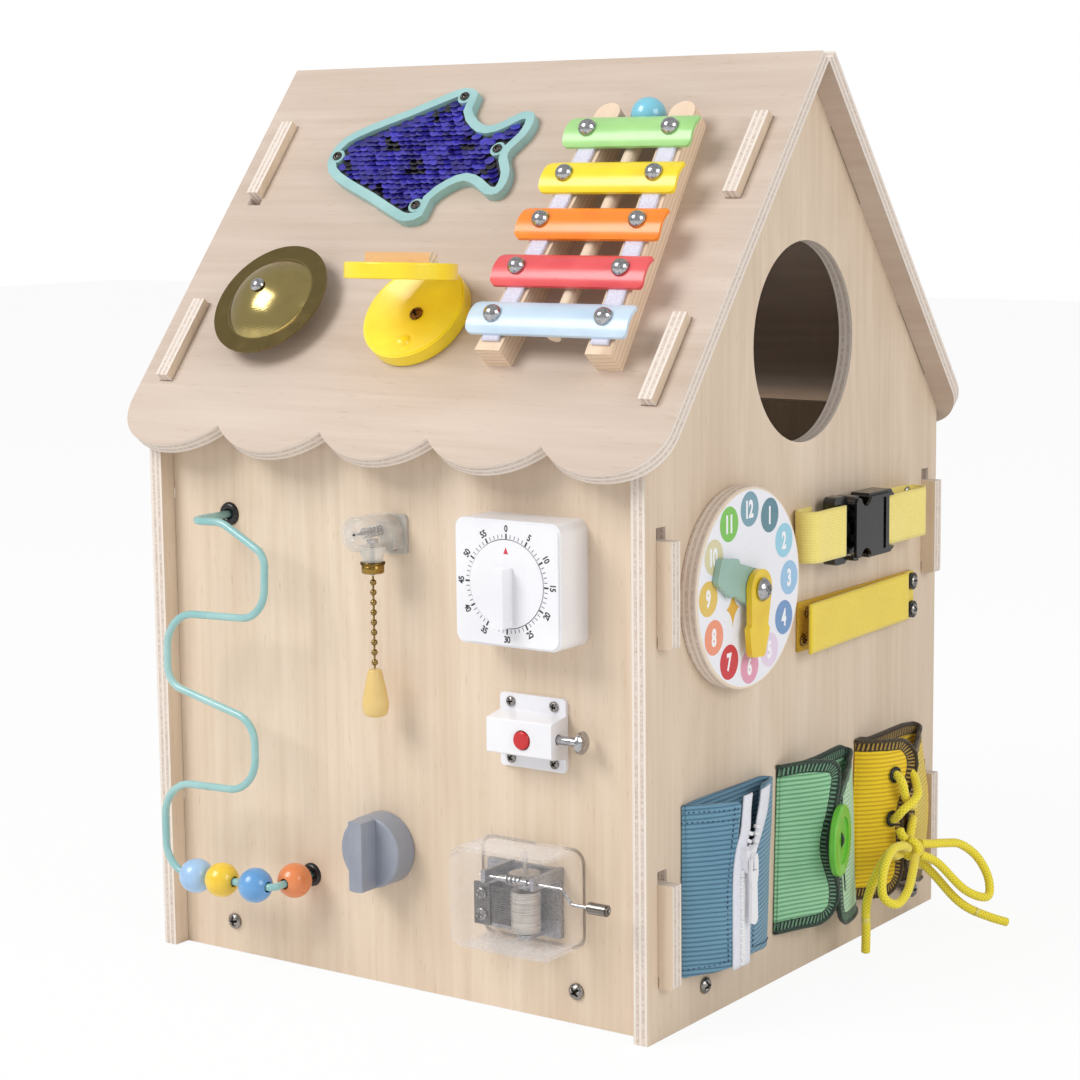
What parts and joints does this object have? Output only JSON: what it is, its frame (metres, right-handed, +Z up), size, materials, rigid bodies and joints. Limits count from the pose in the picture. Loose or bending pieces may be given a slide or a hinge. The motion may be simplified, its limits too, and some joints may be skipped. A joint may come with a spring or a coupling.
{
  "type": "wooden activity house",
  "caption": "Plywood house with pitched scalloped roof, covered in hand toys: maze, switches, timer, latch, music crank, clock, fastenings, cymbal, castanet, xylophone.",
  "frame": {"origin": "middle of the front panel's foot, on the surface the house stands on", "axes": "+X along the front to the right, +Y to the back, +Z up"},
  "size_m": [0.3726, 0.3335, 0.4546],
  "materials": {
    "plywood_house": "clear-sanded birch plywood",
    "plywood_roof": "clear-sanded birch plywood",
    "solid_wood": "sanded beech",
    "screw_steel": "bright plated",
    "pin_steel": "bright",
    "wire_teal": "gloss lacquer",
    "black_rings": "gloss",
    "bead_pale_blue": "gloss lacquer",
    "bead_yellow": "gloss lacquer",
    "bead_blue": "gloss lacquer",
    "bead_orange": "gloss lacquer",
    "clear_drum": "clear",
    "bright_zinc": "bright",
    "brass_chain": "polished",
    "pull_wood": "gloss lacquer",
    "white_plastic": "gloss",
    "red_plastic": "gloss",
    "bolt_chrome": "polished",
    "knob_lacquer": "satin lacquer",
    "clear_case": "clear",
    "cast_bed": "cast, plain",
    "comb_steel": "ground",
    "drum_steel": "turned",
    "crank_steel": "bright",
    "clock_white": "printed white face, plywood edge",
    "hand_yellow": "satin lacquer",
    "hand_teal": "satin lacquer",
    "buckle_black": "gloss",
    "webbing": "woven",
    "tape_yellow": "hook and loop tape",
    "cloth_blue": "ribbed knit",
    "cloth_green": "ribbed knit",
    "cloth_yellow": "ribbed knit",
    "zip_white": "lacquered zinc",
    "button_green": "gloss",
    "lace_cord": "braided",
    "sequins": "sequins, blue and black",
    "cymbal_brass": "spun and polished",
    "fish_teal": "painted",
    "castanet_yellow": "gloss lacquer",
    "bar_green": "gloss enamel",
    "bar_yellow": "gloss enamel",
    "bar_orange": "gloss enamel",
    "bar_red": "gloss enamel",
    "bar_pale_blue": "gloss enamel",
    "ball_blue": "gloss lacquer"
  },
  "bodies": {
    "house": {"left_wall": "plywood_house", "right_wall": "plywood_house", "front_panel": "plywood_house", "back_panel": "plywood_house", "floor_panel": "plywood_house", "front_roof": "plywood_roof", "rear_roof": "plywood_roof", "pan_head_screws": "screw_steel", "pivot_pins": "pin_steel", "maze_wire": "wire_teal", "black_grommets": "black_rings", "switch_case": "clear_drum", "timer_case": "white_plastic", "latch_case": "white_plastic", "music_case": "clear_case", "music_bedplate": "cast_bed", "music_comb": "comb_steel", "clock_disc": "clock_white", "buckle_socket": "buckle_black", "buckle_straps": "webbing", "hook_strip": "tape_yellow", "zip_cloth": "cloth_blue", "button_cloth": "cloth_green", "lace_cloth": "cloth_yellow", "lace": "lace_cord", "fish_frame": "fish_teal", "sequin_cloth": "sequins", "castanet_base": "castanet_yellow", "xylophone_rails": "solid_wood", "bar_green": "bar_green", "bar_yellow": "bar_yellow", "bar_orange": "bar_orange", "bar_red": "bar_red", "bar_pale_blue": "bar_pale_blue"},
    "bead_pale_blue": {"bead_pale_blue": "bead_pale_blue"},
    "bead_yellow": {"bead_yellow": "bead_yellow"},
    "bead_blue": {"bead_blue": "bead_blue"},
    "bead_orange": {"bead_orange": "bead_orange"},
    "plunger": {"switch_plunger": "bright_zinc"},
    "chain": {"pull_chain": "brass_chain"},
    "drop": {"pull_drop": "pull_wood"},
    "dial": {"timer_dial": "white_plastic"},
    "red_button": {"latch_button": "red_plastic"},
    "bolt": {"latch_bolt": "bolt_chrome"},
    "knob": {"turn_knob": "knob_lacquer"},
    "cylinder": {"music_cylinder": "drum_steel"},
    "crank": {"music_crank": "crank_steel"},
    "grip": {"crank_grip": "bright_zinc"},
    "hour": {"hour_hand": "hand_yellow"},
    "minute": {"minute_hand": "hand_teal"},
    "plug": {"buckle_plug": "buckle_black"},
    "flap": {"loop_flap": "tape_yellow"},
    "slider": {"zip_slider": "zip_white"},
    "zip_tab": {"zip_pull": "zip_white"},
    "button": {"big_button": "button_green"},
    "cymbal": {"cymbal": "cymbal_brass"},
    "clapper": {"castanet_clapper": "castanet_yellow", "clapper_grip": "solid_wood"},
    "mallet": {"mallet_stick": "solid_wood", "mallet_ball": "ball_blue"}
  },
  "joints": [
    {"name": "pale_blue_bead_slide", "type": "slide", "parent": "house", "child": "bead_pale_blue", "axis": [0.9997, 0, 0.0254], "range_m": [-0.0005, 0.0004]},
    {"name": "yellow_bead_slide", "type": "slide", "parent": "house", "child": "bead_yellow", "axis": [0.9997, 0, 0.0254], "range_m": [-0.0004, 0.0052]},
    {"name": "blue_bead_slide", "type": "slide", "parent": "house", "child": "bead_blue", "axis": [0.9997, 0, 0.0254], "range_m": [-0.0052, 0.0001]},
    {"name": "orange_bead_slide", "type": "slide", "parent": "house", "child": "bead_orange", "axis": [0, -1, 0], "range_m": [-0.0031, 0.0028]},
    {"name": "switch_pull", "type": "slide", "parent": "house", "child": "plunger", "axis": [0, 0, -1], "range_m": [0, 0.008], "stiffness_N_per_m": 150, "springref_m": -0.002},
    {"name": "chain_swing", "type": "hinge", "parent": "plunger", "child": "chain", "pos_m": [-0.0005, -0.01975, 0.2083], "axis": [0, 1, 0], "range_deg": [-35, 35]},
    {"name": "drop_swing", "type": "hinge", "parent": "chain", "child": "drop", "pos_m": [-0.0005, -0.01975, 0.16274], "axis": [0, 1, 0], "range_deg": [-30, 30]},
    {"name": "timer_turn", "type": "hinge", "parent": "house", "child": "dial", "pos_m": [0.0833, -0.02475, 0.212], "axis": [0, -1, 0], "range_deg": [0, 355]},
    {"name": "button_press", "type": "slide", "parent": "house", "child": "red_button", "axis": [0, 1, 0], "range_m": [0, 0.002], "stiffness_N_per_m": 400, "springref_m": -0.001},
    {"name": "bolt_slide", "type": "slide", "parent": "house", "child": "bolt", "axis": [-1, 0, 0], "range_m": [0, 0.012], "stiffness_N_per_m": 100, "springref_m": -0.003},
    {"name": "knob_turn", "type": "hinge", "parent": "house", "child": "knob", "pos_m": [-0.0085, -0.00875, 0.07], "axis": [0, 1, 0], "continuous": true},
    {"name": "crank_turn", "type": "hinge", "parent": "house", "child": "crank", "pos_m": [0.107, -0.02617, 0.0722], "axis": [1, 0, 0], "continuous": true},
    {"name": "cylinder_turn", "type": "hinge", "parent": "house", "child": "cylinder", "pos_m": [0.0846, -0.01635, 0.0554], "axis": [0, 0, 1], "continuous": true},
    {"name": "grip_turn", "type": "hinge", "parent": "crank", "child": "grip", "pos_m": [0.1321, -0.02617, 0.0657], "axis": [1, 0, 0], "continuous": true},
    {"name": "hour_hand_turn", "type": "hinge", "parent": "house", "child": "hour", "pos_m": [0.164, 0.06375, 0.204], "axis": [1, 0, 0], "continuous": true},
    {"name": "minute_hand_turn", "type": "hinge", "parent": "house", "child": "minute", "pos_m": [0.161, 0.06375, 0.204], "axis": [1, 0, 0], "continuous": true},
    {"name": "plug_slide", "type": "slide", "parent": "house", "child": "plug", "axis": [0, -1, 0], "range_m": [0, 0.01]},
    {"name": "flap_peel", "type": "hinge", "parent": "house", "child": "flap", "pos_m": [0.1534, 0.23605, 0.175], "axis": [0, 0, 1], "range_deg": [-2, 100]},
    {"name": "zip_slide", "type": "slide", "parent": "house", "child": "slider", "axis": [0, 0, 1], "range_m": [-0.036, 0.024]},
    {"name": "zip_pull_swing", "type": "hinge", "parent": "slider", "child": "zip_tab", "pos_m": [0.1722, 0.04525, 0.0787], "axis": [0, -1, 0], "range_deg": [0, 150]},
    {"name": "big_button_turn", "type": "hinge", "parent": "house", "child": "button", "pos_m": [0.17, 0.13425, 0.0678], "axis": [0.9636, 0.2672, 0], "range_deg": [-90, 90]},
    {"name": "cymbal_spin", "type": "hinge", "parent": "house", "child": "cymbal", "pos_m": [-0.0925, 0.02503, 0.33021], "axis": [0, -0.7771, 0.6293], "continuous": true},
    {"name": "clapper_swing", "type": "hinge", "parent": "house", "child": "clapper", "pos_m": [0.0035, 0.02821, 0.34733], "axis": [1, 0, 0], "range_deg": [-34, 54]},
    {"name": "mallet_slide", "type": "slide", "parent": "house", "child": "mallet", "axis": [0, 0.6293, 0.7771], "range_m": [0, 0.15]}
  ],
  "couplings": [
    {"joint": "cylinder_turn", "follows": "crank_turn", "ratio": -0.05}
  ]
}
